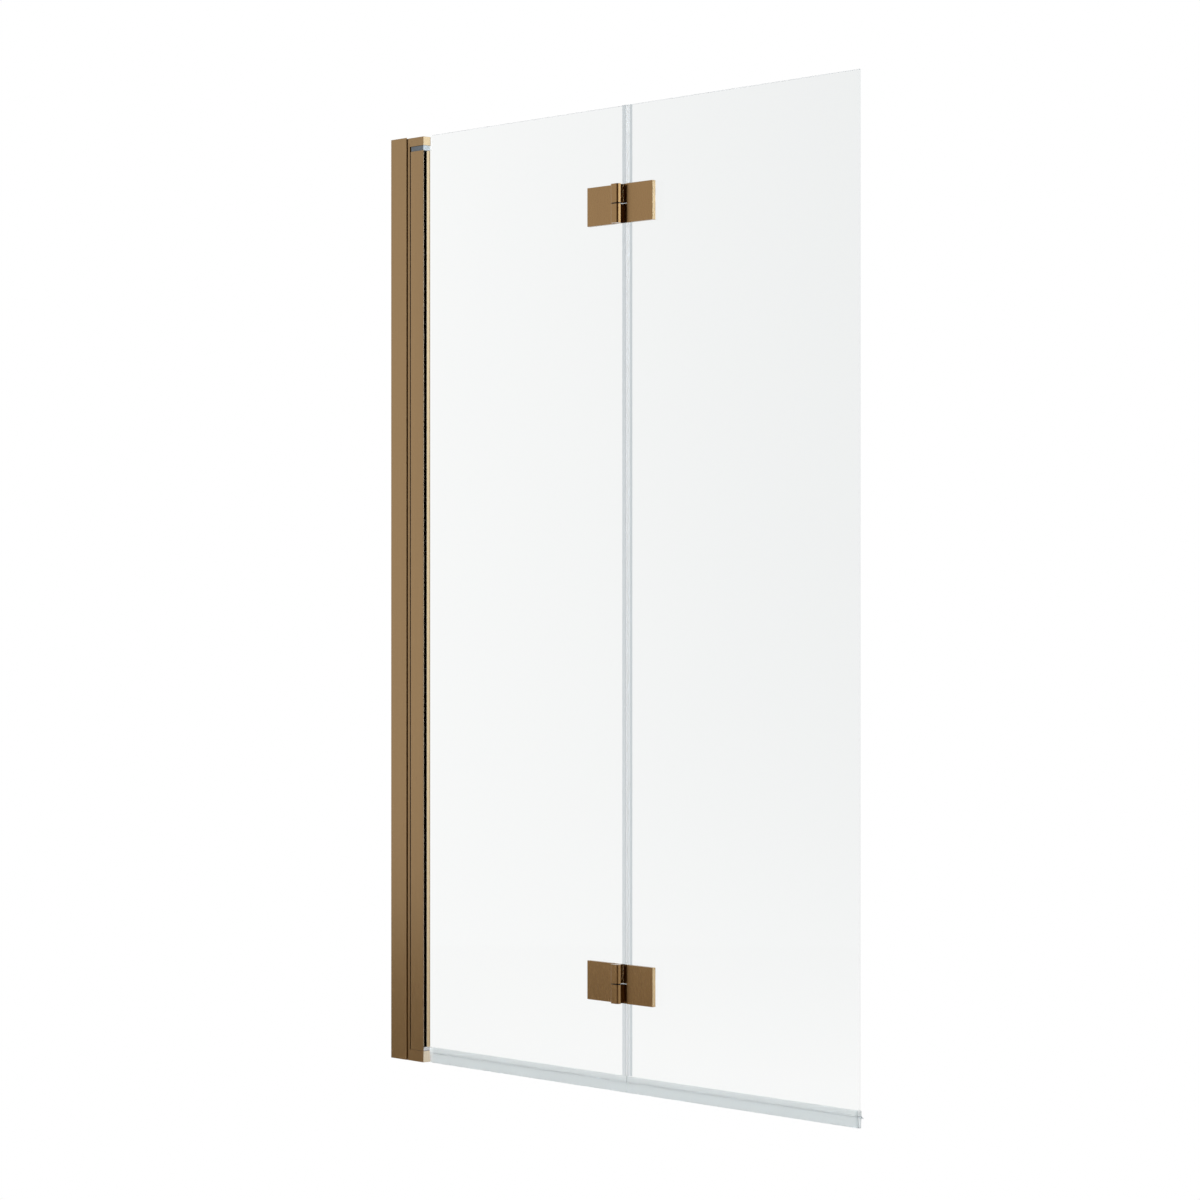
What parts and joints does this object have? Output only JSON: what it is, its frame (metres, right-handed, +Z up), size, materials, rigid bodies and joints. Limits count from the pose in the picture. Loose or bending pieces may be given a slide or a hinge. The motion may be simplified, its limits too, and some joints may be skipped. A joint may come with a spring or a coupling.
{
  "type": "folding bath screen",
  "caption": "Folding bath screen of clear glass panes on bronze fold hinges, turning on a slim pivot profile in an adjustable wall channel, with clear edge and drip seals.",
  "frame": {"origin": "middle of the wall channel's back face, on the wall, halfway up the screen", "axes": "+X along the screen from the wall to its free edge, -Y the room side with the hinges, +Z up"},
  "size_m": [1, 0.0337, 1.4],
  "materials": {
    "bronze_profile": "fine brushed bronze anodising",
    "bronze_hinge": "fine brushed bronze plating",
    "clear_glass": "clear toughened, ground edges",
    "clear_seal": "clear soft strip, slightly milky",
    "grey_bush": "moulded, satin",
    "black_gasket": "matt extruded",
    "black_nylon": "moulded, satin",
    "white_nylon": "moulded, satin",
    "steel": "stainless"
  },
  "bodies": {
    "wall_frame": {"wall_profile": "bronze_profile", "slide_profile": "bronze_profile", "clamp_screws": "steel", "top_cap": "bronze_profile", "bottom_cap": "bronze_profile", "top_cap_screws": "steel", "bottom_cap_screws": "steel", "top_pivot_pin": "steel", "bottom_pivot_pin": "steel"},
    "inner_panel": {"pivot_profile": "bronze_profile", "top_bush": "grey_bush", "bottom_bush": "grey_bush", "glazing_gasket": "black_gasket", "glazing_tape": "clear_seal", "inner_glass": "clear_glass", "inner_bottom_seal": "clear_seal", "inner_fold_seal": "clear_seal", "upper_inner_leaf": "bronze_hinge", "upper_inner_pad": "clear_seal", "upper_inner_bolts": "bronze_hinge", "upper_inner_sleeves": "white_nylon", "upper_hinge_pin": "steel", "upper_hinge_washer": "black_nylon", "lower_inner_leaf": "bronze_hinge", "lower_inner_pad": "clear_seal", "lower_inner_bolts": "bronze_hinge", "lower_inner_sleeves": "white_nylon", "lower_hinge_pin": "steel", "lower_hinge_washer": "black_nylon"},
    "outer_panel": {"outer_glass": "clear_glass", "outer_bottom_seal": "clear_seal", "outer_fold_seal": "clear_seal", "upper_outer_leaf": "bronze_hinge", "upper_outer_pad": "clear_seal", "upper_outer_bolts": "bronze_hinge", "upper_outer_sleeves": "white_nylon", "lower_outer_leaf": "bronze_hinge", "lower_outer_pad": "clear_seal", "lower_outer_bolts": "bronze_hinge", "lower_outer_sleeves": "white_nylon"}
  },
  "joints": [
    {"name": "wall_pivot", "type": "hinge", "parent": "wall_frame", "child": "inner_panel", "pos_m": [0.0573, 0, 0], "axis": [0, 0, 1], "range_deg": [-75, 90]},
    {"name": "panel_fold", "type": "hinge", "parent": "inner_panel", "child": "outer_panel", "pos_m": [0.5312, -0.0182, 0], "axis": [0, 0, -1], "range_deg": [0, 180]}
  ]
}
